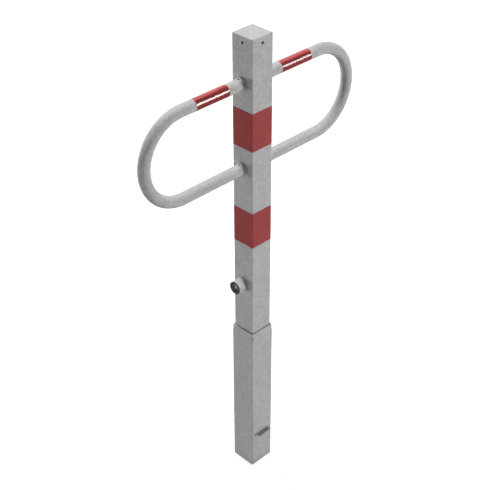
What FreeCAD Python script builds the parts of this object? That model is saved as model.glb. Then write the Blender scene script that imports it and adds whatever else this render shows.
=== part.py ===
import FreeCAD, Part
import math
import os
import re
import Sketcher
from FreeCAD import Placement, Rotation, Vector

# Removable bollard: a square post with two bent hoops, held in a square ground sleeve by a key lock.
# Millimetres. The origin is the centre of the sleeve's lower end, +Z up, hoops along X,
# the lock on the -X face and the keeper in the sleeve's -Y wall.

# Driving dimensions: name, value, what it measures
DIMENSIONS = [
    ("post_width", 70, "square post, outside"),
    ("post_wall", 3, "square post, wall"),
    ("post_corner_radius", 1.5, "square post, outer corners"),
    ("post_bore_radius", 1, "square post, inner corners"),
    ("visible_height", 890, "post above the sleeve"),
    ("cap_thickness", 4, "plate that closes the post"),
    ("cap_edge_radius", 1, "rounding of the cap's upper edges"),
    ("vent_diameter", 8, "vent holes near the post's top"),
    ("vent_depth", 17, "vent holes below the post's top"),
    ("sleeve_width", 80, "ground sleeve, outside"),
    ("sleeve_wall", 3, "ground sleeve, wall"),
    ("sleeve_corner_radius", 2, "ground sleeve, outer corners"),
    ("sleeve_bore_radius", 1, "ground sleeve, inner corners"),
    ("sleeve_height", 510, "ground sleeve, length"),
    ("flap_height", 27, "pressed-in top of the sleeve"),
    ("mouth_gap", 1.1, "between the pressed-in top and the post"),
    ("slit_width", 4, "slits at the sleeve's upper corners"),
    ("slit_height", 16, "depth of these slits, to the centre of the hole at their end"),
    ("slit_hole_diameter", 5, "drilled hole that ends each slit"),
    ("keeper_top", 121, "keeper's upper face above the sleeve's foot"),
    ("keeper_thickness", 3, "keeper plate"),
    ("keeper_width", 48, "keeper plate, across the wall"),
    ("keeper_outside", 14, "keeper plate beyond the sleeve's outer face"),
    ("keeper_inside", 17, "keeper plate beyond the sleeve's inner face"),
    ("seat_gap", 0.3, "post's foot above the keeper"),
    ("hoop_diameter", 32, "hoop tube, outside"),
    ("hoop_wall", 2, "hoop tube, wall"),
    ("hoop_drop", 124, "upper hoop tube's axis below the post's top"),
    ("hoop_spacing", 240, "between a hoop's two tube axes"),
    ("hoop_reach", 376, "hoop's outermost point from the post's axis"),
    ("hoop_vent_diameter", 6, "vent hole in each hoop tube"),
    ("hoop_vent_offset", 14, "that hole from the post's face"),
    ("film_thickness", 0.4, "red film"),
    ("film_gap", 0.02, "adhesive between film and steel"),
    ("band_height", 108, "red bands round the post"),
    ("upper_band_drop", 196.5, "upper band's top edge below the post's top"),
    ("lower_band_drop", 489.5, "lower band's top edge below the post's top"),
    ("hoop_band_length", 108, "red bands on the hoops"),
    ("hoop_band_start", 92, "these bands from the post's axis"),
    ("lock_drop", 729, "lock's axis below the post's top"),
    ("housing_diameter", 38, "lock housing, outside"),
    ("housing_wall", 2.5, "lock housing, wall"),
    ("housing_reach", 34, "lock's front beyond the post's face"),
    ("housing_inside", 8, "lock housing within the post, from its outer face"),
    ("weld_gap", 0.05, "radial play of pieces that are welded or pressed in"),
    ("collar_thickness", 1.5, "lock insert's collar, which covers the housing's end"),
    ("collar_edge_radius", 0.6, "rounding of the collar's outer edge"),
    ("insert_length", 46, "lock insert with its collar"),
    ("cup_depth", 12.5, "key recess in the insert"),
    ("cup_diameter", 28, "key recess in the insert"),
    ("running_gap", 0.05, "radial play of shafts that turn"),
    ("end_play", 0.25, "axial play of pieces that turn"),
    ("journal_diameter", 14, "spindle in its bush"),
    ("flange_diameter", 20, "spindle's shoulder"),
    ("flange_thickness", 2.5, "spindle's shoulder"),
    ("key_circle", 14.5, "circle round the spindle's triangular end"),
    ("key_length", 4.5, "spindle's triangular end"),
    ("square_width", 8, "spindle's square inner end"),
    ("cam_thickness", 6, "cam plate"),
    ("cam_hub_radius", 15, "cam plate's round part"),
    ("cam_rim", 4, "cam plate outside its slot"),
    ("slot_gap", 0.25, "play of the follower pin in the slot"),
    ("lock_turn", 90, "turn of the key, degrees"),
    ("cam_throw", 10, "travel of the follower pin"),
    ("pin_diameter", 8, "follower pin"),
    ("pin_offset", 13, "follower pin and rocker's pivot beside the post's axis"),
    ("washer_diameter", 14, "washer under the cam screw"),
    ("washer_thickness", 1.2, "the same"),
    ("washer_play", 0.5, "washer on its screw, across the hole"),
    ("screw_diameter", 5, "cam screw"),
    ("screw_length", 16, "cam screw below its head"),
    ("screw_head_width", 8, "cam screw's hexagon, across flats"),
    ("screw_head_height", 3.5, "cam screw's hexagon"),
    ("bar_thickness", 8, "rocker bar, along X"),
    ("bar_width", 16, "rocker bar, along Y"),
    ("eye_diameter", 26, "rocker bar round its pivot"),
    ("pivot_drop", 234, "rocker's pivot below the lock's axis"),
    ("pivot_diameter", 12, "rocker's pivot pin"),
    ("spacer_diameter", 18, "spacer tubes on the pivot pin"),
    ("spacer_play", 0.2, "radial play of the spacer tubes"),
    ("foot_width", 36, "latch foot, along X"),
    ("foot_reach", 24, "latch foot beyond the rocker bar"),
    ("foot_depth", 11.6, "latch foot, along Z"),
    ("foot_drop", 2.4, "latch foot below the keeper, unlocked"),
    ("foot_bevel", 4, "bevel under the foot's tip"),
    ("overrun", 1, "how far cuts and joined shapes run past a face"),
]

doc = FreeCAD.newDocument("removable_bollard")
sheet = doc.addObject("Spreadsheet::Sheet", "sizes")
for row, (alias, number, meaning) in enumerate(DIMENSIONS, start=1):
    sheet.set(f"A{row}", meaning)
    sheet.set(f"B{row}", str(number))
    sheet.setAlias(f"B{row}", alias)
doc.recompute()

ALIASES = re.compile(r"\b(" + "|".join(alias for alias, number, meaning in DIMENSIONS) + r")\b")
ALONG_X = Rotation(Vector(0, 1, 0), 90)
ALONG_Y = Rotation(Vector(1, 0, 0), -90)
ALONG_Z = Rotation()
ALONG_DIAGONAL = Rotation(Vector(-1, 1, 0), 90)
NEAR = 0.01
nodes = []


def size(alias):
    """A driving dimension's value, for shapes that are worked out in code."""
    return float(sheet.get(alias))


def bind(item, prop, formula):
    """Bind one property to a formula of driving dimensions."""
    item.setExpression(prop, ALIASES.sub(r"sizes.\1", formula))


def place(item, rotation=ALONG_Z, **coordinates):
    """Turn an object and bind its place to formulas of driving dimensions."""
    item.Placement = Placement(Vector(), rotation)
    for axis, formula in coordinates.items():
        bind(item, f"Placement.Base.{axis}", formula)


def keep(item, node):
    """Mark an object as one of the finished pieces."""
    item.Label = node
    nodes.append(item)
    return item


# Sketches and features of a body
def body_for(node):
    """A body whose Label names the piece."""
    return keep(doc.addObject("PartDesign::Body", node + "_body"), node)


def sketch_in(body, role, offset="0", turn=0):
    """A sketch on one of the body's own planes, moved along its normal and turned about it."""
    sketch = body.newObject("Sketcher::SketchObject", body.Name + "_sketch")
    plane = next(item for item in body.Origin.OriginFeatures if item.Role == role)
    sketch.AttachmentSupport = [(plane, "")]
    sketch.MapMode = "FlatFace"
    sketch.AttachmentOffset = Placement(Vector(), Rotation(Vector(0, 0, 1), turn))
    bind(sketch, "AttachmentOffset.Base.z", offset)
    return sketch


def constrain(sketch, kind, *elements, formula=None):
    """Add a constraint; one with a formula follows the driving dimensions."""
    index = sketch.addConstraint(Sketcher.Constraint(kind, *elements))
    if formula:
        name = f"size_{index}"
        sketch.renameConstraint(index, name)
        bind(sketch, f"Constraints.{name}", formula)


def circle(sketch, diameter, x="0", y="0", start=(0, 0)):
    """A circle of a bound diameter whose centre is bound to the sketch's origin."""
    centre = Vector(start[0], start[1], 0)
    index = sketch.addGeometry(Part.Circle(centre, Vector(0, 0, 1), 5))
    constrain(sketch, "Diameter", index, 10, formula=diameter)
    if x == "0":
        constrain(sketch, "PointOnObject", index, 3, -2)
    else:
        constrain(sketch, "DistanceX", -1, 1, index, 3, start[0], formula=x)
    if y == "0":
        constrain(sketch, "PointOnObject", index, 3, -1)
    else:
        constrain(sketch, "DistanceY", -1, 1, index, 3, start[1], formula=y)


def rounded_square(sketch, side, radius, guess):
    """A square with round corners about the sketch's origin, bound in side and corner radius."""
    half, round_off = guess / 2, guess / 20
    flat = half - round_off
    first = sketch.GeometryCount
    corners = [(-flat, -half), (flat, -half), (half, -flat), (half, flat),
               (flat, half), (-flat, half), (-half, flat), (-half, -flat)]
    points = [Vector(x, y, 0) for x, y in corners]
    for k in range(0, 8, 2):
        sketch.addGeometry(Part.LineSegment(points[k], points[k + 1]))
    for k, (sx, sy) in enumerate([(1, -1), (1, 1), (-1, 1), (-1, -1)]):
        centre = Part.Circle(Vector(sx * flat, sy * flat, 0), Vector(0, 0, 1), round_off)
        begin = math.radians(-90 + 90 * k)
        sketch.addGeometry(Part.ArcOfCircle(centre, begin, begin + math.pi / 2))
    for k in range(4):
        line, corner, after = first + k, first + 4 + k, first + (k + 1) % 4
        constrain(sketch, "Tangent", line, 2, corner, 1)
        constrain(sketch, "Tangent", corner, 2, after, 1)
    constrain(sketch, "Horizontal", first)
    constrain(sketch, "Vertical", first + 1)
    constrain(sketch, "Horizontal", first + 2)
    constrain(sketch, "Vertical", first + 3)
    for k in (5, 6, 7):
        constrain(sketch, "Equal", first + 4, first + k)
    constrain(sketch, "Symmetric", first + 4, 3, first + 6, 3, -1, 1)
    constrain(sketch, "Radius", first + 4, round_off, formula=radius)
    constrain(sketch, "DistanceX", first + 3, 1, first + 1, 1, guess, formula=side)
    constrain(sketch, "DistanceY", first, 1, first + 2, 1, guess, formula=side)


def pad(body, sketch, length):
    """Material along the sketch's normal."""
    feature = body.newObject("PartDesign::Pad", body.Name + "_pad")
    feature.Profile = sketch
    bind(feature, "Length", length)
    sketch.Visibility = False
    return feature


def pocket(body, sketch, depth):
    """A cut along the sketch's normal."""
    feature = body.newObject("PartDesign::Pocket", body.Name + "_pocket")
    feature.Profile = sketch
    feature.Reversed = True
    bind(feature, "Length", depth)
    return feature


def loft(body, kind, first, second):
    """A straight loft between two sketches."""
    feature = body.newObject("PartDesign::" + kind, body.Name + "_loft")
    feature.Profile = first
    feature.Sections = [second]
    feature.Ruled = True
    return feature


def hole(body, diameter, depth, rotation, **coordinates):
    """A round cut of its own place and direction."""
    feature = body.newObject("PartDesign::SubtractiveCylinder", body.Name + "_hole")
    bind(feature, "Radius", f"({diameter}) / 2")
    bind(feature, "Height", depth)
    place(feature, rotation, **coordinates)
    return feature


def box_cut(body, length, width, height, **coordinates):
    """A cut with flat walls."""
    feature = body.newObject("PartDesign::SubtractiveBox", body.Name + "_box")
    for prop, formula in (("Length", length), ("Width", width), ("Height", height)):
        bind(feature, prop, formula)
    place(feature, **coordinates)
    return feature


def edges_of(shape, wanted):
    """Names of a shape's edges whose centre passes a test."""
    return [f"Edge{k}" for k, edge in enumerate(shape.Edges, start=1) if wanted(edge.BoundBox.Center, edge)]


# Solids that are made by primitives and booleans
def cylinder(name, diameter, length, rotation=ALONG_Z, **coordinates):
    item = doc.addObject("Part::Cylinder", name)
    bind(item, "Radius", f"({diameter}) / 2")
    bind(item, "Height", length)
    place(item, rotation, **coordinates)
    return item


def block(name, length, width, height, **coordinates):
    item = doc.addObject("Part::Box", name)
    for prop, formula in (("Length", length), ("Width", width), ("Height", height)):
        bind(item, prop, formula)
    place(item, **coordinates)
    return item


def prism(name, sides, circle_diameter, length, rotation=ALONG_Z, **coordinates):
    item = doc.addObject("Part::Prism", name)
    item.Polygon = sides
    bind(item, "Circumradius", f"({circle_diameter}) / 2")
    bind(item, "Height", length)
    place(item, rotation, **coordinates)
    return item


def cut(name, base, tool):
    item = doc.addObject("Part::Cut", name)
    item.Base = base
    item.Tool = tool
    return item


def fuse(name, *shapes):
    item = doc.addObject("Part::MultiFuse", name)
    item.Shapes = list(shapes)
    item.Refine = True
    return item


# Heights and places that several pieces share
TOP = "(sleeve_height + visible_height)"
POST_FOOT = "(keeper_top + seat_gap)"
LOCK_HEIGHT = f"({TOP} - lock_drop)"
PIVOT_HEIGHT = f"({LOCK_HEIGHT} - pivot_drop)"
LOCK_FRONT = "(-post_width / 2 - housing_reach)"
INSERT_END = f"({LOCK_FRONT} + insert_length)"
CAM_FACE = f"({INSERT_END} + end_play)"
CAM_BACK = f"({CAM_FACE} + cam_thickness)"


# Ground sleeve: square tube, its upper corners slit down to a drilled hole and its top pressed in to the post
def make_sleeve():
    body = body_for("ground_sleeve")
    straight = "sleeve_height - flap_height"
    bore = "sleeve_width - 2 * sleeve_wall"
    mouth = "post_width + 2 * mouth_gap"

    outline = sketch_in(body, "XY_Plane")
    rounded_square(outline, "sleeve_width", "sleeve_corner_radius", 80)
    pad(body, outline, straight)
    low = sketch_in(body, "XY_Plane", straight)
    rounded_square(low, "sleeve_width", "sleeve_corner_radius", 80)
    high = sketch_in(body, "XY_Plane", "sleeve_height")
    rounded_square(high, f"{mouth} + 2 * sleeve_wall", "sleeve_corner_radius", 77)
    loft(body, "AdditiveLoft", low, high)

    inside = sketch_in(body, "XY_Plane")
    rounded_square(inside, bore, "sleeve_bore_radius", 74)
    pocket(body, inside, straight)
    low_bore = sketch_in(body, "XY_Plane", straight)
    rounded_square(low_bore, bore, "sleeve_bore_radius", 74)
    high_bore = sketch_in(body, "XY_Plane", "sleeve_height")
    rounded_square(high_bore, mouth, "post_corner_radius + mouth_gap", 72)
    loft(body, "SubtractiveLoft", low_bore, high_bore)

    box_cut(body, "keeper_width + 2 * weld_gap", "3 * sleeve_wall", "keeper_thickness + 2 * weld_gap",
            x="-keeper_width / 2 - weld_gap", y="-sleeve_width / 2 - sleeve_wall",
            z="keeper_top - keeper_thickness - weld_gap")

    slit = box_cut(body, "sleeve_width", "slit_width", "slit_height + overrun",
                   x="slit_width / 2 / sqrt(2)", y="-slit_width / 2 / sqrt(2)", z="sleeve_height - slit_height")
    slit.Placement = Placement(slit.Placement.Base, Rotation(Vector(0, 0, 1), 45))
    drilled = hole(body, "slit_hole_diameter", "sleeve_width", ALONG_DIAGONAL, z="sleeve_height - slit_height")
    corners = body.newObject("PartDesign::PolarPattern", "corner_slits")
    corners.Originals = [slit, drilled]
    upright = next(item for item in body.Origin.OriginFeatures if item.Role == "Z_Axis")
    corners.Axis = (upright, [""])
    corners.Angle = 360
    corners.Occurrences = 4
    body.Tip = corners


# Keeper: flat plate welded into a saw cut in the sleeve's wall; the post's foot stands on its inner end
def make_keeper():
    length = "keeper_outside + sleeve_wall + keeper_inside"
    plate = block("keeper_plate_box", "keeper_width", length, "keeper_thickness",
                  x="-keeper_width / 2", y="-sleeve_width / 2 - keeper_outside", z="keeper_top - keeper_thickness")
    keep(plate, "keeper_plate")


# Post: square tube with vent holes, the lock's hole and the pivot pin's holes
def make_post():
    body = body_for("post_tube")
    length = f"{TOP} - cap_thickness - {POST_FOOT}"
    outline = sketch_in(body, "XY_Plane", POST_FOOT)
    rounded_square(outline, "post_width", "post_corner_radius", 70)
    rounded_square(outline, "post_width - 2 * post_wall", "post_bore_radius", 64)
    pad(body, outline, length)
    before_face = "-post_width / 2 - overrun"
    through_wall = "post_wall + 2 * overrun"
    for rotation, place_at in ((ALONG_X, {"x": before_face}), (ALONG_Y, {"y": before_face})):
        hole(body, "vent_diameter", through_wall, rotation, z=f"{TOP} - vent_depth", **place_at)
    hole(body, "housing_diameter + 2 * weld_gap", through_wall, ALONG_X, x=before_face, z=LOCK_HEIGHT)
    hole(body, "pivot_diameter + 2 * weld_gap", "post_width + 2 * overrun", ALONG_X,
         x=before_face, y="pin_offset", z=PIVOT_HEIGHT)


def make_cap():
    """Cap plate, welded and ground flush with the post's sides."""
    body = body_for("top_cap")
    outline = sketch_in(body, "XY_Plane", f"{TOP} - cap_thickness")
    rounded_square(outline, "post_width", "post_corner_radius", 70)
    plate = pad(body, outline, "cap_thickness")
    doc.recompute()
    top = size("sleeve_height") + size("visible_height")
    rounding = body.newObject("PartDesign::Fillet", "cap_edge")
    rounding.Base = (plate, edges_of(plate.Shape, lambda centre, edge: abs(centre.z - top) < NEAR))
    bind(rounding, "Radius", "cap_edge_radius")


# Hoops: round tube bent to a half circle, both ends butted to the post and welded
def make_hoop(node, turn):
    body = body_for(node)
    upper = f"{TOP} - hoop_drop"
    bend_start = "hoop_reach - hoop_diameter / 2 - hoop_spacing / 2"
    route = sketch_in(body, "XZ_Plane")
    x0, x1, high, low = 35.0, 240.0, 1276.0, 1036.0  # first guesses, which the constraints replace
    middle = (high + low) / 2
    route.addGeometry(Part.LineSegment(Vector(x0, high, 0), Vector(x1, high, 0)))
    bend = Part.Circle(Vector(x1, middle, 0), Vector(0, 0, 1), (high - low) / 2)
    route.addGeometry(Part.ArcOfCircle(bend, -math.pi / 2, math.pi / 2))
    route.addGeometry(Part.LineSegment(Vector(x1, low, 0), Vector(x0, low, 0)))
    constrain(route, "Horizontal", 0)
    constrain(route, "Horizontal", 2)
    constrain(route, "Tangent", 0, 2, 1, 2)
    constrain(route, "Tangent", 1, 1, 2, 1)
    constrain(route, "Vertical", 0, 1, 2, 2)
    constrain(route, "DistanceX", -1, 1, 0, 1, x0, formula="post_width / 2")
    constrain(route, "DistanceX", -1, 1, 1, 3, x1, formula=bend_start)
    constrain(route, "DistanceY", -1, 1, 0, 1, high, formula=upper)
    constrain(route, "Radius", 1, (high - low) / 2, formula="hoop_spacing / 2")

    section = sketch_in(body, "YZ_Plane", "post_width / 2")
    circle(section, "hoop_diameter", y=upper, start=(0, high))
    circle(section, "hoop_diameter - 2 * hoop_wall", y=upper, start=(0, high))
    tube = body.newObject("PartDesign::AdditivePipe", node + "_tube")
    tube.Profile = section
    tube.Spine = (route, ["Edge1", "Edge2", "Edge3"])
    for axis_height in (upper, f"{upper} - hoop_spacing"):
        hole(body, "hoop_vent_diameter", "hoop_diameter / 2 + overrun", ALONG_Z,
             x="post_width / 2 + hoop_vent_offset", z=axis_height)
    body.Placement = Placement(Vector(), Rotation(Vector(0, 0, 1), turn))


# Red film: bands round the post and round each hoop's upper tube
def make_post_band(node, drop):
    body = body_for(node)
    inner = "post_width + 2 * film_gap"
    outline = sketch_in(body, "XY_Plane", f"{TOP} - {drop} - band_height")
    rounded_square(outline, f"{inner} + 2 * film_thickness", "post_corner_radius + film_gap + film_thickness", 71)
    rounded_square(outline, inner, "post_corner_radius + film_gap", 70)
    pad(body, outline, "band_height")


def make_hoop_band(node, turn):
    body = body_for(node)
    height = f"{TOP} - hoop_drop"
    section = sketch_in(body, "YZ_Plane", "hoop_band_start")
    circle(section, "hoop_diameter + 2 * (film_gap + film_thickness)", y=height, start=(0, 1276))
    circle(section, "hoop_diameter + 2 * film_gap", y=height, start=(0, 1276))
    pad(body, section, "hoop_band_length")
    body.Placement = Placement(Vector(), Rotation(Vector(0, 0, 1), turn))


# Lock: housing tube welded through the post's wall, dark bush pressed into it up to the collar on its end
def make_lock_body():
    housing = body_for("lock_housing")
    ring = sketch_in(housing, "XY_Plane")
    circle(ring, "housing_diameter")
    circle(ring, "housing_diameter - 2 * housing_wall")
    pad(housing, ring, "housing_reach - collar_thickness + housing_inside")
    place(housing, ALONG_X, x=f"{LOCK_FRONT} + collar_thickness", z=LOCK_HEIGHT)

    insert = body_for("lock_insert")
    disc = sketch_in(insert, "XY_Plane")
    circle(disc, "housing_diameter")
    collar = pad(insert, disc, "collar_thickness")
    doc.recompute()
    edge_round = insert.newObject("PartDesign::Fillet", "collar_edge")
    edge_round.Base = (collar, edges_of(collar.Shape, lambda centre, edge: abs(centre.z) < NEAR))
    bind(edge_round, "Radius", "collar_edge_radius")
    plug = sketch_in(insert, "XY_Plane", "collar_thickness")
    circle(plug, "housing_diameter - 2 * (housing_wall + weld_gap)")
    pad(insert, plug, "insert_length - collar_thickness")
    cup = sketch_in(insert, "XY_Plane")
    circle(cup, "cup_diameter")
    pocket(insert, cup, "cup_depth")
    bore = sketch_in(insert, "XY_Plane")
    circle(bore, "journal_diameter + 2 * running_gap")
    pocket(insert, bore, "insert_length")
    place(insert, ALONG_X, x=LOCK_FRONT, z=LOCK_HEIGHT)


# Spindle: triangular end for the key, shoulder, journal, and a square for the cam
def make_spindle():
    floor = f"({LOCK_FRONT} + cup_depth)"
    shoulder = f"({floor} - end_play - flange_thickness)"
    key_end = prism("key_end", 3, "key_circle", "key_length + flange_thickness / 2", ALONG_X,
                    x=f"{shoulder} - key_length", z=LOCK_HEIGHT)
    key_end.Placement = Placement(Vector(), ALONG_X.multiply(Rotation(Vector(0, 0, 1), 180)))
    flange = cylinder("flange", "flange_diameter", "flange_thickness", ALONG_X, x=shoulder, z=LOCK_HEIGHT)
    journal = cylinder("journal", "journal_diameter", f"{INSERT_END} - {shoulder}", ALONG_X,
                       x=shoulder, z=LOCK_HEIGHT)
    square = block("square", "cam_thickness + end_play / 2 + overrun", "square_width", "square_width",
                   x=f"{INSERT_END} - overrun", y="-square_width / 2", z=f"{LOCK_HEIGHT} - square_width / 2")
    tapped = cylinder("tapped_hole", "screw_diameter", "screw_length + overrun", ALONG_X,
                      x=f"{CAM_BACK} - screw_length", z=LOCK_HEIGHT)
    keep(cut("spindle", fuse("spindle_solid", key_end, flange, journal, square), tapped), "lock_spindle")


# Cam: plate on the square, with a slot that moves the follower pin evenly with the key's turn
def swing_limit():
    """Rocker's swing for the whole turn, in radians."""
    return math.asin(size("cam_throw") / size("pivot_drop"))


def slot_centre(share):
    """Point of the slot's centre line in the Y-Z plane about the spindle, at a share of the turn."""
    swing = swing_limit() * share
    turn = math.radians(size("lock_turn")) * share
    across = size("pin_offset") + size("pivot_drop") * math.sin(swing)
    rise = size("pivot_drop") * (math.cos(swing) - 1)
    return Vector(0, across * math.cos(turn) + rise * math.sin(turn),
                  rise * math.cos(turn) - across * math.sin(turn))


def slot_way(share, step=0.001):
    """Direction of the centre line at that share."""
    return (slot_centre(share + step) - slot_centre(share - step)).normalize()


def beside_slot(share, aside):
    """Point at that share, aside of the centre line."""
    return slot_centre(share) + slot_way(share).cross(Vector(1, 0, 0)) * aside


def strip_along_slot(half_width, stations=12):
    """Face of one width along the slot's centre line, with round ends."""
    edges = []
    for aside in (half_width, -half_width):
        curve = Part.BSplineCurve()
        curve.interpolate([beside_slot(k / stations, aside) for k in range(stations + 1)])
        edges.append(curve.toShape())
    for share, outwards in ((0, -half_width), (1, half_width)):
        tip = slot_centre(share) + slot_way(share) * outwards
        edges.append(Part.Arc(beside_slot(share, half_width), tip, beside_slot(share, -half_width)).toShape())
    return Part.Face(Part.Wire(Part.__sortEdges__(edges)))


def make_cam():
    slot_half = size("pin_diameter") / 2 + size("slot_gap")
    thickness = Vector(size("cam_thickness"), 0, 0)
    hub = Part.makeCylinder(size("cam_hub_radius"), size("cam_thickness"), Vector(), Vector(1, 0, 0))
    lobe = strip_along_slot(slot_half + size("cam_rim")).extrude(thickness)
    slot = strip_along_slot(slot_half).extrude(thickness)
    side = size("square_width") + 2 * size("weld_gap")
    square = Part.makeBox(size("cam_thickness"), side, side, Vector(0, -side / 2, -side / 2))
    cam = doc.addObject("Part::Feature", "cam")
    cam.Shape = hub.fuse(lobe).cut(slot).cut(square).removeSplitter()
    place(cam, x=CAM_FACE, z=LOCK_HEIGHT)
    keep(cam, "cam_plate")


def make_cam_screw():
    """Washer and hexagon screw that hold the cam on the spindle."""
    disc = cylinder("washer_disc", "washer_diameter", "washer_thickness", ALONG_X, x=CAM_BACK, z=LOCK_HEIGHT)
    opening = cylinder("washer_hole", "screw_diameter + washer_play", "washer_thickness", ALONG_X,
                       x=CAM_BACK, z=LOCK_HEIGHT)
    keep(cut("washer", disc, opening), "cam_washer")
    head_seat = f"({CAM_BACK} + washer_thickness)"
    head = prism("screw_head", 6, "screw_head_width * 2 / sqrt(3)", "screw_head_height", ALONG_X,
                 x=head_seat, z=LOCK_HEIGHT)
    shank = cylinder("screw_shank", "screw_diameter - 2 * weld_gap", "screw_length", ALONG_X,
                     x=f"{head_seat} - screw_length", z=LOCK_HEIGHT)
    keep(fuse("screw", head, shank), "cam_screw")


# Rocker: flat bar on a cross pin, pushed at its top by the cam, with a foot that swings under the keeper
def make_rocker():
    bottom = "(keeper_top - keeper_thickness - foot_drop - foot_depth)"
    stem = block("stem", "bar_thickness", "bar_width", f"{LOCK_HEIGHT} - {bottom}",
                 x="-bar_thickness / 2", y="pin_offset - bar_width / 2", z=bottom)
    eye = cylinder("eye", "eye_diameter", "bar_thickness", ALONG_X,
                   x="-bar_thickness / 2", y="pin_offset", z=PIVOT_HEIGHT)
    tip = cylinder("tip", "bar_width", "bar_thickness", ALONG_X,
                   x="-bar_thickness / 2", y="pin_offset", z=LOCK_HEIGHT)
    outline = fuse("rocker_outline", stem, eye, tip)
    pivot_bore = cylinder("pivot_bore", "pivot_diameter + 2 * running_gap", "bar_thickness", ALONG_X,
                          x="-bar_thickness / 2", y="pin_offset", z=PIVOT_HEIGHT)
    pin_hole = cylinder("pin_hole", "pin_diameter + 2 * weld_gap", "bar_thickness", ALONG_X,
                        x="-bar_thickness / 2", y="pin_offset", z=LOCK_HEIGHT)
    keep(cut("rocker", outline, fuse("rocker_holes", pivot_bore, pin_hole)), "latch_bar")

    pin = cylinder("follower", "pin_diameter", f"bar_thickness / 2 - {CAM_FACE} - end_play", ALONG_X,
                   x=f"{CAM_FACE} + end_play", y="pin_offset", z=LOCK_HEIGHT)
    keep(pin, "follower_pin")

    foot_block = block("foot_block", "foot_width", "foot_reach", "foot_depth",
                       x="-foot_width / 2", y="pin_offset - bar_width / 2 - foot_reach", z=bottom)
    doc.recompute()
    lower_tip = foot_block.Shape.BoundBox
    names = edges_of(foot_block.Shape, lambda centre, edge: abs(centre.z - lower_tip.ZMin) < NEAR
                     and abs(centre.y - lower_tip.YMin) < NEAR)
    bevel = doc.addObject("Part::Chamfer", "foot_bevel_cut")
    bevel.Base = foot_block
    bevel.Edges = [(int(name[4:]), size("foot_bevel"), size("foot_bevel")) for name in names]
    keep(bevel, "latch_foot")


def make_pivot():
    """Cross pin through the post and the two spacer tubes that keep the rocker in the middle."""
    pin = cylinder("pivot", "pivot_diameter", "post_width", ALONG_X,
                   x="-post_width / 2", y="pin_offset", z=PIVOT_HEIGHT)
    keep(pin, "latch_pivot_pin")
    length = "post_width / 2 - post_wall - bar_thickness / 2 - 2 * end_play"
    starts = {"left": "-post_width / 2 + post_wall + end_play", "right": "bar_thickness / 2 + end_play"}
    for side, start in starts.items():
        tube = cylinder(f"spacer_tube_{side}", "spacer_diameter", length, ALONG_X,
                        x=start, y="pin_offset", z=PIVOT_HEIGHT)
        bore = cylinder(f"spacer_bore_{side}", "pivot_diameter + 2 * spacer_play", length, ALONG_X,
                        x=start, y="pin_offset", z=PIVOT_HEIGHT)
        keep(cut(f"spacer_{side}", tube, bore), f"pivot_spacer_{side}")


make_sleeve()
make_keeper()
make_post()
make_cap()
make_hoop("hoop_left", 180)
make_hoop("hoop_right", 0)
make_post_band("post_band_upper", "upper_band_drop")
make_post_band("post_band_lower", "lower_band_drop")
make_hoop_band("hoop_band_left", 180)
make_hoop_band("hoop_band_right", 0)
make_lock_body()
make_spindle()
make_cam()
make_cam_screw()
make_rocker()
make_pivot()
doc.recompute()

for item in doc.Objects:
    if "Invalid" in item.State or "Error" in item.State:
        raise RuntimeError(f"{item.Name} failed: {item.State}")
os.makedirs("parts", exist_ok=True)
for item in nodes:
    if item.Shape.isNull() or not item.Shape.isValid() or not item.Shape.Solids:
        raise RuntimeError(f"{item.Label} has no valid solid")
    item.Shape.exportStep(f"parts/{item.Label}.step")
    box = item.Shape.BoundBox
    print(f"{item.Label}: {item.Shape.Volume:.0f} mm3, {len(item.Shape.Solids)} solid, "
          f"x {box.XMin:.1f} {box.XMax:.1f}, y {box.YMin:.1f} {box.YMax:.1f}, z {box.ZMin:.1f} {box.ZMax:.1f}")
print(f"latch swing for the whole turn: {math.degrees(swing_limit()):.4f} degrees")
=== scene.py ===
# Removable bollard: a square post with two bent hoops, locked in a square ground sleeve.
import math
import bpy
import numpy as np
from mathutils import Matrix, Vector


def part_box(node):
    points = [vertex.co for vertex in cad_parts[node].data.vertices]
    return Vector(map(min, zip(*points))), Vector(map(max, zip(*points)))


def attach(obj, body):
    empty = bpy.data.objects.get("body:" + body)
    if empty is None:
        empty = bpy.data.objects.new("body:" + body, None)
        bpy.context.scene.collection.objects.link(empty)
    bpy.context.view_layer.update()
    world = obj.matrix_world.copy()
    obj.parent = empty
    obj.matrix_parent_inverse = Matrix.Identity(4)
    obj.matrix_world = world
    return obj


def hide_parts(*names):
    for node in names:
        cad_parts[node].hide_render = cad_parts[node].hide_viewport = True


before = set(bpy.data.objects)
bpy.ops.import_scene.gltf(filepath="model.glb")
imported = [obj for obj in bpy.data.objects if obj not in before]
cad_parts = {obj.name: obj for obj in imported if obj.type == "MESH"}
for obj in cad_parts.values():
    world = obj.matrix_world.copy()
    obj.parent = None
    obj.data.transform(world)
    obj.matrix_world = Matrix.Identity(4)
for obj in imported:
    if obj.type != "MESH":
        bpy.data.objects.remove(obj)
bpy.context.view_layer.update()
scene = bpy.context.scene
MM = 0.001

# The view: the camera stands off the post's left front corner, well above it, and looks down along the
# diagonal. Its lens, height and distance come from the widths and edge slopes that the photograph shows.
IMAGE_PX = 490
FOCAL_PX = 1123.2
AXIS_X_PX = 252.45
AXIS_Y_PX = 265.0
CAMERA_TURN = math.radians(44.92)
CAMERA_TILT = math.radians(35.289)
CAMERA_AWAY = 2525.0 * MM
CAMERA_ABOVE_TOP = 1101.3 * MM

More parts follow.
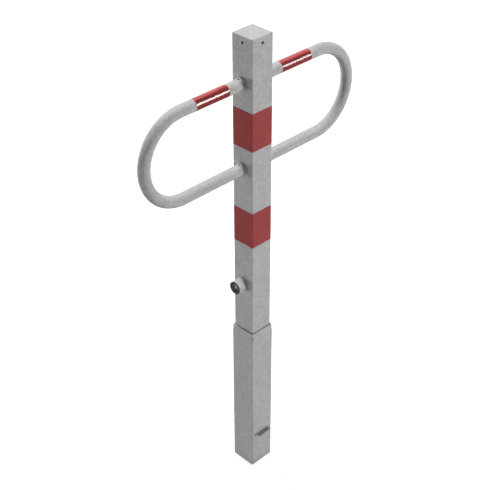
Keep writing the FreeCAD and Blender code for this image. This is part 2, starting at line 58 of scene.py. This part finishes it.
post_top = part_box("top_cap")[1].z
camera = bpy.data.objects.new("camera", bpy.data.cameras.new("camera"))
scene.collection.objects.link(camera)
scene.camera = camera
camera.data.lens = camera.data.sensor_width * FOCAL_PX / IMAGE_PX
camera.data.shift_x = 0.5 - AXIS_X_PX / IMAGE_PX
camera.data.shift_y = AXIS_Y_PX / IMAGE_PX - 0.5
camera.location = (-CAMERA_AWAY * math.cos(CAMERA_TURN), -CAMERA_AWAY * math.sin(CAMERA_TURN),
                   post_top + CAMERA_ABOVE_TOP)
camera.rotation_euler = (math.pi / 2 - CAMERA_TILT, 0, CAMERA_TURN - math.pi / 2)
scene.view_settings.view_transform = "Standard"

# Studio floor: a sheet of matt white paper that lights the object softly from below.
# The camera sees it lifted to white, and the shadow at the sleeve's foot stays. Reflections show that same
# white where it lies behind the object, and a dim floor in front of it and at the sides.
PAPER_COLOUR = "#BCBCBC"
PAPER_LIFT = 0.8
PAPER_SIDE = 16.0
DIM_FLOOR = 0.25
AHEAD = (math.cos(CAMERA_TURN), math.sin(CAMERA_TURN), 0.0)
ASIDE = (math.sin(CAMERA_TURN), -math.cos(CAMERA_TURN), 0.0)
WHITE_SIDE = 0.34      # sideways, as a share of the way ahead: white up to here ...
DIM_SIDE = 0.55        # ... and dim from here
DIM_AHEAD = 3.4        # metres ahead of the camera: dim up to here ...
WHITE_AHEAD = 4.0      # ... and white from here


def linear(hex_colour):
    """sRGB hex to linear RGBA: the lowest part is divided by 12.92, the rest is a power of 2.4."""
    parts = [int(hex_colour[k:k + 2], 16) / 255 for k in (1, 3, 5)]
    return [c / 12.92 if c <= 0.04045 else ((c + 0.055) / 1.055) ** 2.4 for c in parts] + [1.0]


def feed(tree, node, inputs):
    """Fill a node's inputs with values, sockets or nodes; a node gives its first output that is in use."""
    for name, value in inputs.items():
        if isinstance(value, bpy.types.Node):
            value = next(output for output in value.outputs if output.enabled)
        if isinstance(value, bpy.types.NodeSocket):
            tree.links.new(value, node.inputs[name])
        else:
            node.inputs[name].default_value = value


def add(tree, kind, inputs=None, **settings):
    """Add one node with its own settings and its inputs."""
    made = tree.nodes.new("ShaderNode" + kind)
    for name, value in settings.items():
        setattr(made, name, value)
    feed(tree, made, inputs or {})
    return made


def start_tree(owner):
    """Turn on an owner's nodes and empty them."""
    owner.use_nodes = True
    owner.node_tree.nodes.clear()
    return owner.node_tree


def shows_white(tree, share):
    """Camera rays see the background white; glossy and transmission rays see it so by a share."""
    ray = add(tree, "LightPath").outputs
    glossy, through = ray["Is Glossy Ray"], ray["Is Transmission Ray"]
    either = add(tree, "Math", {0: glossy, 1: through}, operation="MAXIMUM")
    shared = add(tree, "Math", {0: either, 1: share}, operation="MULTIPLY")
    return add(tree, "Math", {0: ray["Is Camera Ray"], 1: shared}, operation="MAXIMUM")


def flat_sheet(name, width, height, material):
    """A rectangle in the XY plane round its own middle."""
    mesh = bpy.data.meshes.new(name)
    corners = [(-1, -1), (1, -1), (1, 1), (-1, 1)]
    mesh.from_pydata([(width / 2 * x, height / 2 * y, 0) for x, y in corners], [], [(0, 1, 2, 3)])
    mesh.materials.append(material)
    sheet = bpy.data.objects.new(name, mesh)
    scene.collection.objects.link(sheet)
    return sheet


paper = bpy.data.materials.new("matt_white_paper")
tree = start_tree(paper)
spot = add(tree, "NewGeometry").outputs["Position"]
across = add(tree, "VectorMath", {0: spot, 1: ASIDE}, operation="DOT_PRODUCT")
sideways = add(tree, "Math", {0: across}, operation="ABSOLUTE")
along = add(tree, "VectorMath", {0: spot, 1: AHEAD}, operation="DOT_PRODUCT")
ahead = add(tree, "Math", {0: along, 1: CAMERA_AWAY}, operation="ADD")
slant = add(tree, "Math", {0: sideways, 1: ahead}, operation="DIVIDE")
within = add(tree, "MapRange", {"Value": slant, "From Min": DIM_SIDE, "From Max": WHITE_SIDE})
beyond = add(tree, "MapRange", {"Value": ahead, "From Min": DIM_AHEAD, "From Max": WHITE_AHEAD})
in_picture = add(tree, "Math", {0: within, 1: beyond}, operation="MULTIPLY")
strength = add(tree, "Math", {0: shows_white(tree, in_picture), 1: PAPER_LIFT}, operation="MULTIPLY")
lift = add(tree, "Emission", {"Strength": strength})
outside = add(tree, "Math", {0: 1.0, 1: in_picture}, operation="SUBTRACT")
glossy = add(tree, "LightPath").outputs["Is Glossy Ray"]
beside = add(tree, "Math", {0: glossy, 1: outside}, operation="MULTIPLY")
white_paper = linear(PAPER_COLOUR)
dim_paper = [part * DIM_FLOOR for part in white_paper[:3]] + [1.0]
shade = add(tree, "Mix", {0: beside, 6: white_paper, 7: dim_paper}, data_type="RGBA")
matt = add(tree, "BsdfDiffuse", {"Color": shade})
add(tree, "OutputMaterial", {"Surface": add(tree, "AddShader", {0: matt, 1: lift})})
floor = flat_sheet("floor", PAPER_SIDE, PAPER_SIDE, paper)

# Studio lamps: one overhead and a little behind, a strip low at the right, a low one far behind at the left
# that throws the tubes' shadows over the left face, and two soft boxes that fill in from the left. The post
# keeps the first two off the last centimetre of each left tube, which leaves a dark crescent at its root.
LAMP_AIM = (0, 0, 0.84)
LAMPS = {
    "overhead": dict(toward=(0.09, 0.4, 1.0), away=5.0, size=(0.5, 0.5), watts=240),
    "right": dict(toward=(0.588, -0.809, 0.14), away=6.0, size=(1.2, 2.2), watts=310),
    "left": dict(toward=(-1.0, 5.0, -0.72), away=5.15, size=(0.35, 0.3), watts=300),
    "fill_front": dict(toward=(-0.6, -0.7, 0.18), away=4.0, size=(1.5, 1.5), watts=16.5),
    "fill_left": dict(toward=(-0.95, 0.1, 0.18), away=4.0, size=(1.5, 1.5), watts=31.5),
}
for name, lamp in LAMPS.items():
    light = bpy.data.lights.new(name, "AREA")
    light.shape = "RECTANGLE"
    light.size, light.size_y = lamp["size"]
    light.energy = lamp["watts"]
    way = np.array(lamp["toward"]) / np.linalg.norm(lamp["toward"])
    holder = bpy.data.objects.new(name, light)
    holder.location = np.array(LAMP_AIM) + way * lamp["away"]
    holder.rotation_euler = (math.acos(way[2]), 0, math.atan2(way[0], -way[1]))
    scene.collection.objects.link(holder)

# Reflected strip: a white card in the right lamp's place draws the line of light on the hoops' films.
# The side lamps are hidden from reflections, and mirror-sharp rays alone see the card, so the line shows in
# the films' clear layer only. The card fades towards its upper and lower edge, and towards its right side.
CARD_WHITE = 38.0
CARD_WIDTH = 4.4
CARD_HEIGHT = 3.4
CARD_FULL = 0.8        # metres above and below its middle, where the card begins to fade
CARD_FAR_SIDE = 0.6    # the share of white that is left 1 m to the right of its middle
CARD_RAISED = 0.4

strip = bpy.data.objects["right"]
strip.visible_glossy = bpy.data.objects["left"].visible_glossy = False
glow = bpy.data.materials.new("white_strip_card")
tree = start_tree(glow)
spot = add(tree, "SeparateXYZ", {0: add(tree, "TexCoord").outputs["Object"]}).outputs
far_white = CARD_WHITE * CARD_FAR_SIDE
white = add(tree, "MapRange", {"Value": spot["X"], "To Min": CARD_WHITE, "To Max": far_white})
from_middle = add(tree, "Math", {0: spot["Y"]}, operation="ABSOLUTE")
faded = add(tree, "MapRange", {"Value": from_middle, "From Min": CARD_HEIGHT / 2, "From Max": CARD_FULL})
strength = add(tree, "Math", {0: white, 1: faded}, operation="MULTIPLY")
sharp = add(tree, "LightPath").outputs["Is Singular Ray"]
strength = add(tree, "Math", {0: sharp, 1: strength}, operation="MULTIPLY")
add(tree, "OutputMaterial", {"Surface": add(tree, "Emission", {"Strength": strength})})
glow.cycles.emission_sampling = "NONE"
card = flat_sheet("strip_card", CARD_WIDTH, CARD_HEIGHT, glow)
card.location = np.array(strip.location) + (0, 0, CARD_RAISED)
card.rotation_euler = strip.rotation_euler
card.visible_camera = card.visible_diffuse = card.visible_shadow = False

# Room: an even grey, with a white backdrop behind the object, which reflections show too.
# Seen from the object, the backdrop reaches up to 60 degrees above the horizon and has a soft edge.
ROOM_LIGHT = 0.03
BACKDROP_RISE = math.radians(60)
BACKDROP_SOFT = 0.06

world = bpy.data.worlds.new("studio")
scene.world = world
tree = start_tree(world)
below_rise = [part * math.sin(BACKDROP_RISE) for part in AHEAD[:2]] + [-math.cos(BACKDROP_RISE)]
towards = add(tree, "TexCoord").outputs["Generated"]
depth = add(tree, "VectorMath", {0: towards, 1: below_rise}, operation="DOT_PRODUCT")
behind = add(tree, "MapRange", {"Value": depth, "From Min": -BACKDROP_SOFT, "From Max": BACKDROP_SOFT})
room = add(tree, "Background", {"Color": linear("#FFFFFF"), "Strength": ROOM_LIGHT})
backdrop = add(tree, "Background", {"Color": linear("#FFFFFF"), "Strength": 1.0})
shown = add(tree, "MixShader", {0: shows_white(tree, behind), 1: room, 2: backdrop})
add(tree, "OutputWorld", {"Surface": shown})

# Ground sleeve: square steel tube, cut, slit at its upper corners, pressed in and then hot-dip galvanised.
# The zinc is matt grey, with crystals a few millimetres wide, a sandy grain and small bright pimples. Grain
# and pimples are drawn coarser than real ones, which would be too fine to show.
ZINC_DARK = "#A5A6A6"
ZINC_LIGHT = "#BDBDBC"
ZINC_BRIGHT = "#CFCFCE"
ZINC_TONES = (0.34, 0.66)
CRYSTAL_MM = 6.0
GRAIN_MM = 1.4
CLOUD_MM = 26.0
PIMPLE_MM = 9.0
CRYSTAL_WARP = 0.5
CLOUD_SHARE = 0.4
GRAIN_SHARE = 0.62
PIMPLE_EDGE, PIMPLE_TOP = 0.22, 0.1
PIMPLES_FROM, PIMPLES_FULL = 0.52, 0.6
ZINC_ROUGHNESS = 0.68
ZINC_ROUGHNESS_SWING = 0.1
ZINC_METAL = 0.1
ZINC_RELIEF = 0.35
ZINC_RELIEF_DEPTH = 0.25 * MM


def begin_material(name, roughness, metallic):
    """A material with one Principled shader, given with its tree, its shader and the object's coordinates."""
    material = bpy.data.materials.new(name)
    tree = start_tree(material)
    shader = add(tree, "BsdfPrincipled", {"Roughness": roughness, "Metallic": metallic})
    add(tree, "OutputMaterial", {"Surface": shader})
    place = add(tree, "TexCoord").outputs["Object"]
    return material, tree, shader, place


def fade(tree, value, limits, colours):
    """One colour up to a value's first limit, the other from its second limit on, a straight fade between."""
    share = add(tree, "MapRange", {"Value": value, "From Min": limits[0], "From Max": limits[1]})
    return add(tree, "Mix", {0: share, 6: linear(colours[0]), 7: linear(colours[1])}, data_type="RGBA")


def galvanised(name, seed):
    """Hot-dip zinc: cells of slightly different grey under a cloudy patina, a sandy bump, bright pimples."""
    material, tree, shader, place = begin_material(name, ZINC_ROUGHNESS, ZINC_METAL)
    moved = add(tree, "Mapping", {"Vector": place, "Location": (seed, seed / 3, seed / 7)})
    warp = add(tree, "TexNoise", {"Vector": moved, "Scale": 1000 / CRYSTAL_MM, "Detail": 2.0})
    push = (CRYSTAL_WARP * CRYSTAL_MM * MM,) * 3
    bent = add(tree, "VectorMath", {0: warp.outputs["Color"], 1: push}, operation="MULTIPLY")
    bent = add(tree, "VectorMath", {0: bent, 1: moved}, operation="ADD")
    cells = add(tree, "TexVoronoi", {"Vector": bent, "Scale": 1000 / CRYSTAL_MM})
    cell_tone = add(tree, "SeparateColor", {"Color": cells.outputs["Color"]})
    cloud = add(tree, "TexNoise", {"Vector": moved, "Scale": 1000 / CLOUD_MM, "Detail": 4.0})
    grain = add(tree, "TexNoise", {"Vector": moved, "Scale": 1000 / GRAIN_MM, "Detail": 3.0})
    patina = add(tree, "Mix", {0: CLOUD_SHARE, 2: cell_tone, 3: cloud}, data_type="FLOAT")
    tone = add(tree, "Mix", {0: GRAIN_SHARE, 2: patina, 3: grain}, data_type="FLOAT")
    pimple = add(tree, "TexVoronoi", {"Vector": moved, "Scale": 1000 / PIMPLE_MM})
    spot = add(tree, "MapRange", {"Value": pimple, "From Min": PIMPLE_EDGE, "From Max": PIMPLE_TOP})
    rare = add(tree, "MapRange", {"Value": cloud, "From Min": PIMPLES_FROM, "From Max": PIMPLES_FULL})
    spot = add(tree, "Math", {0: spot, 1: rare}, operation="MULTIPLY")
    greys = fade(tree, tone, ZINC_TONES, (ZINC_DARK, ZINC_LIGHT))
    colour = add(tree, "Mix", {0: spot, 6: greys, 7: linear(ZINC_BRIGHT)}, data_type="RGBA")
    dullness = add(tree, "Mix", {0: 0.5, 2: cell_tone, 3: cloud}, data_type="FLOAT")
    rough = add(tree, "MapRange", {"Value": dullness, "To Min": ZINC_ROUGHNESS - ZINC_ROUGHNESS_SWING,
                                   "To Max": ZINC_ROUGHNESS + ZINC_ROUGHNESS_SWING})
    height = add(tree, "Math", {0: tone, 1: spot}, operation="ADD")
    relief = add(tree, "Bump", {"Height": height, "Strength": ZINC_RELIEF, "Distance": ZINC_RELIEF_DEPTH})
    feed(tree, shader, {"Base Color": colour, "Roughness": rough, "Normal": relief})
    return material


def dress(material, *names):
    """Give CAD pieces a material in their own slots."""
    for name in names:
        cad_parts[name].material_slots[0].material = material


dress(galvanised("hot_dip_zinc_on_sleeve", seed=0.0), "ground_sleeve")

# Keeper: flat steel plate, welded from below into a saw cut of the sleeve's wall.
# It keeps its dark rolling skin, a grey oxide in patches that is neither matt nor glossy.
SCALE_COLOURS = ("#767677", "#A4A3A3")
SCALE_TONES = (0.35, 0.65)
SCALE_PATCH_MM = 9.0
SCALE_RELIEF = 0.3
SCALE_RELIEF_DEPTH = 0.15 * MM

rolled, tree, shader, place = begin_material("black_rolled_steel", roughness=0.6, metallic=0.2)
patches = add(tree, "TexNoise", {"Vector": place, "Scale": 1000 / SCALE_PATCH_MM, "Detail": 5.0})
relief = add(tree, "Bump", {"Height": patches, "Strength": SCALE_RELIEF, "Distance": SCALE_RELIEF_DEPTH})
feed(tree, shader, {"Base Color": fade(tree, patches, SCALE_TONES, SCALE_COLOURS), "Normal": relief})
dress(rolled, "keeper_plate")

# Post: square steel tube with drilled vent holes and a cap plate, which is welded on and ground flush.
# Both are dipped in zinc as one piece with the hoops and the lock's housing.
dress(galvanised("hot_dip_zinc_on_post", seed=0.31), "post_tube", "top_cap")

# Hoops: round steel tube bent to a half circle, butted to the post and welded all round, then galvanised.
# The fillet welds are convex beads with fine ripples, under the same zinc.
WELD_LEG = 0.9 * MM
WELD_SUNK = 0.3 * MM
RIPPLE_PITCH = 1.5 * MM
RIPPLE_DEPTH = 0.12
ROOT_STEPS = 120
BEAD_STEPS = 12


def surface(name, points, material, wraps=(False, False)):
    """A mesh from a grid of points; a direction that wraps joins its last row to its first."""
    rows, columns = points.shape[:2]
    index = np.arange(rows * columns).reshape(rows, columns)
    for axis, wrap in enumerate(wraps):
        if wrap:
            index = np.concatenate([index, index.take([0], axis)], axis)
    quads = np.stack([index[:-1, :-1], index[:-1, 1:], index[1:, 1:], index[1:, :-1]], -1).reshape(-1, 4)
    mesh = bpy.data.meshes.new(name)
    mesh.from_pydata(points.reshape(-1, 3).tolist(), [], quads.tolist())
    mesh.shade_smooth()
    mesh.materials.append(material)
    piece = bpy.data.objects.new(name, mesh)
    scene.collection.objects.link(piece)
    return piece


def root_weld(name, material, x_face, z_axis, tube_radius):
    """A bead round a tube that stands on the post: a quarter circle in the corner between tube and face,
    carried round the tube, its size swelling and shrinking once every ripple, closed below the two skins."""
    outwards = math.copysign(1, x_face)
    ripples = round(2 * math.pi * tube_radius / RIPPLE_PITCH)
    turn = np.linspace(0, 2 * math.pi, ROOT_STEPS, endpoint=False)[:, None]
    angle = np.linspace(0, math.pi / 2, BEAD_STEPS)[None, :]
    leg = WELD_LEG * (1 + RIPPLE_DEPTH * np.abs(np.sin(ripples * turn / 2)) - RIPPLE_DEPTH / 2)
    off_face = np.hstack([leg * np.cos(angle), np.full_like(turn, -WELD_SUNK)])
    off_tube = np.hstack([leg * np.sin(angle), np.full_like(turn, -WELD_SUNK)])
    radius = tube_radius + off_tube
    points = np.stack([x_face + outwards * off_face, outwards * radius * np.cos(turn),
                       z_axis + radius * np.sin(turn)], -1)
    piece = surface(name, points, material, wraps=(True, True))
    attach(piece, "post")
    return piece


zinc_on_hoops = galvanised("hot_dip_zinc_on_hoops", seed=0.57)
dress(zinc_on_hoops, "hoop_left", "hoop_right")
face_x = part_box("post_tube")[1].x
for side, sign in (("left", -1), ("right", 1)):
    low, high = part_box(f"hoop_{side}")
    tube_radius = high.y
    for level, z_axis in (("upper", high.z - tube_radius), ("lower", low.z + tube_radius)):
        weld = root_weld(f"weld_{side}_{level}", zinc_on_hoops, sign * face_x, z_axis, tube_radius)

# Red film: smooth reflective plastic sheet, cut to bands and glued round the post and the hoops' upper tubes.
# Glass beads in it make the red even and slightly milky. On the post its face is dull. The hoops get a lit
# copy of the same film. Its lighter red is painted light for the light that the tubes' round tops catch. It
# also has a larger metallic share and a clear glossy layer on top, and the reflections from these are real.
POST_FILM = dict(reds=("#9E4444", "#A34848"), beads=0.12, roughness=0.4, face_gloss=0.5, clear_layer=0.0)
HOOP_FILM_LIT_COPY = dict(reds=("#C35050", "#C65353"), beads=0.68, roughness=0.15, face_gloss=0.0, clear_layer=0.6)
FILM_CLOUD_MM = 40.0
FILM_TONES = (0.35, 0.65)
FILM_SIDES = 192
EDGE_ROUND = 0.05 * MM
EDGE_HOLD = 0.5 * MM
LAP_WIDTH = math.radians(40)
LAP_STEP = 0.15 * MM


def reflective_film(name, film):
    """Red film: its beads are the metallic share, its face and its clear layer are the two glossy skins."""
    material, tree, shader, place = begin_material(name, film["roughness"], film["beads"])
    cloud = add(tree, "TexNoise", {"Vector": place, "Scale": 1000 / FILM_CLOUD_MM, "Detail": 2.0})
    feed(tree, shader, {"Base Color": fade(tree, cloud, FILM_TONES, film["reds"]), "Coat Roughness": 0.0,
                        "Coat Weight": film["clear_layer"], "Specular IOR Level": film["face_gloss"]})
    return material


def film_round_tube(node, material):
    """The band as the film lies on the tube: its cut edges hardly rounded, and at the back its end laps over
    its beginning in one small step."""
    low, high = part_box(node)
    outside, z_axis = high.y, (low.z + high.z) / 2
    inside = outside - EDGE_HOLD / 2
    turn = np.linspace(0, 2 * math.pi, FILM_SIDES, endpoint=False)[:, None]
    lap = np.where(np.abs(turn - math.pi / 2) < LAP_WIDTH / 2, 0.0, -LAP_STEP)
    along = np.array([0, 0, EDGE_ROUND, EDGE_HOLD])
    out = np.array([inside, outside - EDGE_ROUND, outside, outside])
    x = np.concatenate([low.x + along, high.x - along[::-1]])[None, :] + 0 * turn
    radius = np.concatenate([out, out[::-1]])[None, :] + lap
    points = np.stack([x, radius * np.sin(turn), z_axis + radius * np.cos(turn)], -1)
    piece = surface(f"film_{node}", points, material, wraps=(True, True))
    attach(piece, "post")
    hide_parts(node)
    return piece


dress(reflective_film("red_film_on_post", POST_FILM), "post_band_upper", "post_band_lower")
# Painted light: the hoops' film is a lighter copy of the post's film.
film_on_hoops_lit_copy = reflective_film("red_film_on_hoops", HOOP_FILM_LIT_COPY)
for side in ("left", "right"):
    band = film_round_tube(f"hoop_band_{side}", film_on_hoops_lit_copy)

# Lock: a short galvanised tube welded through the post's left wall, and a cast bush pressed into it. The bush
# is dark outside, and bare and lighter where its recess is turned out. In this stands the triangular end of
# the spindle that the key turns, machined from plain steel.
BUSH_TURNED = "#8C8C8B"
BUSH_SKIN = "#505051"
RECESS_RADIUS = 14.0 * MM
RECESS_EDGE = 0.28 * MM
STEEL_COLOURS = ("#C0C0BE", "#D8D8D6")
STEEL_TONES = (0.35, 0.65)
TOOL_MARK_MM = 1.5

zinc_on_lock = galvanised("hot_dip_zinc_on_lock", seed=0.83)
dress(zinc_on_lock, "lock_housing")
low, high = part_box("lock_housing")
lock_axis_z = (low.z + high.z) / 2
weld = root_weld("weld_lock_housing", zinc_on_lock, -face_x, lock_axis_z, high.y)

cast, tree, shader, place = begin_material("dark_cast_zinc_alloy", roughness=0.5, metallic=0.3)
from_axis = add(tree, "VectorMath", {0: place, 1: (0, 0, lock_axis_z)}, operation="SUBTRACT")
across = add(tree, "VectorMath", {0: from_axis, 1: (0, 1, 1)}, operation="MULTIPLY")
radius = add(tree, "VectorMath", {0: across}, operation="LENGTH")
recess = (RECESS_RADIUS, RECESS_RADIUS + RECESS_EDGE)
feed(tree, shader, {"Base Color": fade(tree, radius, recess, (BUSH_TURNED, BUSH_SKIN))})
dress(cast, "lock_insert")


def bare_steel(name, roughness, metallic):
    """Plain steel with faint marks of the tool."""
    material, tree, shader, place = begin_material(name, roughness, metallic)
    marks = add(tree, "TexNoise", {"Vector": place, "Scale": 1000 / TOOL_MARK_MM, "Detail": 3.0})
    feed(tree, shader, {"Base Color": fade(tree, marks, STEEL_TONES, STEEL_COLOURS)})
    return material


dress(bare_steel("machined_steel", roughness=0.6, metallic=0.3), "lock_spindle")

# Inside the post: the cam with its screw and washer, and the rocker with its pins and spacers.
# They are cut from drawn steel bar and plate and left bare, smoother and brighter than the spindle.
dress(bare_steel("drawn_steel", roughness=0.38, metallic=1.0), "cam_plate", "cam_washer", "cam_screw",
      "latch_bar", "follower_pin", "latch_foot", "latch_pivot_pin", "pivot_spacer_left", "pivot_spacer_right")
